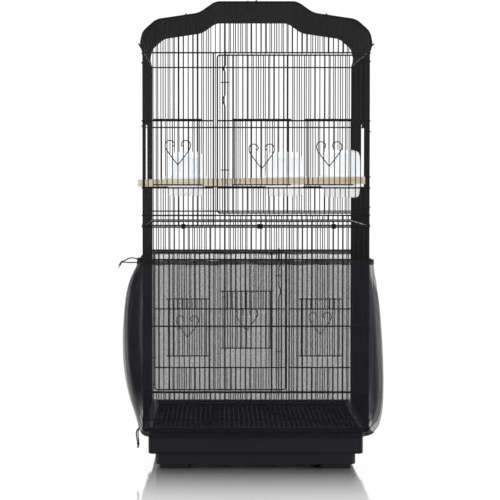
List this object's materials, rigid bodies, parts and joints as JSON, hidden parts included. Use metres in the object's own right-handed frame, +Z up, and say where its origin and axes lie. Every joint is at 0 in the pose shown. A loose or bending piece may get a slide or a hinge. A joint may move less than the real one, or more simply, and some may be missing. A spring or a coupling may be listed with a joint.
{
  "type": "bird cage",
  "caption": "Tall wire cage in tiers for small birds with a stepped roof, swinging doors, small lifting heart doors, hooded feeder cups, a mesh seed skirt and a plastic base with a tray.",
  "frame": {"origin": "on the ground under the middle of the cage", "axes": "+Z up, -Y towards the front, +X to the right for someone facing the front"},
  "size_m": [0.5347, 0.42, 0.9778],
  "materials": {
    "black_wire": "satin",
    "black_plastic": "satin",
    "pale_wood": "matte",
    "milk_plastic": "satin",
    "black_mesh": "matte",
    "black_cord": "matte",
    "bare_steel": "satin"
  },
  "bodies": {
    "cage": {"upper_strip_wires": "black_wire", "upper_sill_wires": "black_wire", "upper_lintel_wires": "black_wire", "upper_hinge_post": "black_wire", "upper_front_rails": "black_wire", "lower_front_wires": "black_wire", "lower_front_rails": "black_wire", "front_clip_left": "black_wire", "front_clip_middle": "black_wire", "front_clip_right": "black_wire", "lower_strip_wires": "black_wire", "lower_sill_wires": "black_wire", "lower_lintel_wires": "black_wire", "lower_hinge_post": "black_wire", "lower_back_rails": "black_wire", "upper_back_wires": "black_wire", "upper_back_rails": "black_wire", "upper_left_wires": "black_wire", "upper_left_rails": "black_wire", "lower_left_wires": "black_wire", "lower_left_rails": "black_wire", "upper_right_wires": "black_wire", "upper_right_rails": "black_wire", "lower_right_wires": "black_wire", "lower_right_rails": "black_wire", "roof_wires": "black_wire", "roof_frame": "black_wire", "hanging_loop": "bare_steel", "base_housing": "black_plastic", "foot_front_left": "black_plastic", "foot_front_right": "black_plastic", "foot_back_left": "black_plastic", "foot_back_right": "black_plastic", "bottom_grate": "black_wire", "perch": "pale_wood", "skirt_net": "black_mesh", "head_strand_a": "black_cord", "head_strand_b": "black_cord", "foot_strand_a": "black_cord", "foot_strand_b": "black_cord", "head_knot": "black_cord", "foot_knot": "black_cord"},
    "upper_door": {"upper_door_wires": "black_wire", "upper_door_frame": "black_wire"},
    "upper_latch": {"upper_latch_rod": "black_wire"},
    "lower_door": {"lower_door_wires": "black_wire", "lower_door_frame": "black_wire"},
    "lower_latch": {"lower_latch_rod": "black_wire"},
    "upper_strip_door": {"upper_strip_flap": "black_wire"},
    "upper_middle_door": {"upper_middle_flap": "black_wire"},
    "upper_hinge_door": {"upper_hinge_flap": "black_wire"},
    "lower_strip_door": {"lower_strip_flap": "black_wire"},
    "lower_middle_door": {"lower_middle_flap": "black_wire"},
    "lower_hinge_door": {"lower_hinge_flap": "black_wire"},
    "left_nest": {"left_nest_door": "black_wire"},
    "right_nest": {"right_nest_door": "black_wire"},
    "tray": {"seed_tray": "black_plastic"},
    "left_cup": {"left_feeder_cup": "milk_plastic"},
    "middle_cup": {"middle_feeder_cup": "milk_plastic"},
    "right_cup": {"right_feeder_cup": "milk_plastic"}
  },
  "joints": [
    {"name": "upper_door_hinge", "type": "hinge", "parent": "cage", "child": "upper_door", "pos_m": [0.2285, -0.178, 0.6847], "axis": [0, 0, 1], "range_deg": [0, 110]},
    {"name": "lower_door_hinge", "type": "hinge", "parent": "cage", "child": "lower_door", "pos_m": [-0.2285, 0.178, 0.2681], "axis": [0, 0, 1], "range_deg": [0, 110], "deforming": ["skirt_net", "head_strand_a", "head_strand_b", "head_knot"]},
    {"name": "upper_latch_lift", "type": "slide", "parent": "upper_door", "child": "upper_latch", "axis": [0, 0, 1], "range_m": [0, 0.018]},
    {"name": "lower_latch_lift", "type": "slide", "parent": "lower_door", "child": "lower_latch", "axis": [0, 0, 1], "range_m": [0, 0.018]},
    {"name": "upper_strip_lift", "type": "slide", "parent": "cage", "child": "upper_strip_door", "axis": [0, 0, 1], "range_m": [0, 0.122]},
    {"name": "upper_middle_lift", "type": "slide", "parent": "upper_door", "child": "upper_middle_door", "axis": [0, 0, 1], "range_m": [0, 0.122]},
    {"name": "upper_hinge_lift", "type": "slide", "parent": "upper_door", "child": "upper_hinge_door", "axis": [0, 0, 1], "range_m": [0, 0.122]},
    {"name": "lower_strip_lift", "type": "slide", "parent": "cage", "child": "lower_strip_door", "axis": [0, 0, 1], "range_m": [-0.02, 0.102]},
    {"name": "lower_middle_lift", "type": "slide", "parent": "lower_door", "child": "lower_middle_door", "axis": [0, 0, 1], "range_m": [-0.038, 0.084]},
    {"name": "lower_hinge_lift", "type": "slide", "parent": "lower_door", "child": "lower_hinge_door", "axis": [0, 0, 1], "range_m": [-0.02, 0.102]},
    {"name": "left_nest_lift", "type": "slide", "parent": "cage", "child": "left_nest", "axis": [0, 0, 1], "range_m": [-0.122, 0]},
    {"name": "right_nest_lift", "type": "slide", "parent": "cage", "child": "right_nest", "axis": [0, 0, 1], "range_m": [-0.122, 0]},
    {"name": "seed_tray_slide", "type": "slide", "parent": "cage", "child": "tray", "axis": [0, -1, 0], "range_m": [0, 0.3]},
    {"name": "left_cup_lift", "type": "slide", "parent": "cage", "child": "left_cup", "axis": [0, 0, 1], "range_m": [0, 0.012]},
    {"name": "middle_cup_lift", "type": "slide", "parent": "cage", "child": "middle_cup", "axis": [0, 0, 1], "range_m": [0, 0.012]},
    {"name": "right_cup_lift", "type": "slide", "parent": "cage", "child": "right_cup", "axis": [0, 0, 1], "range_m": [0, 0.012]}
  ]
}
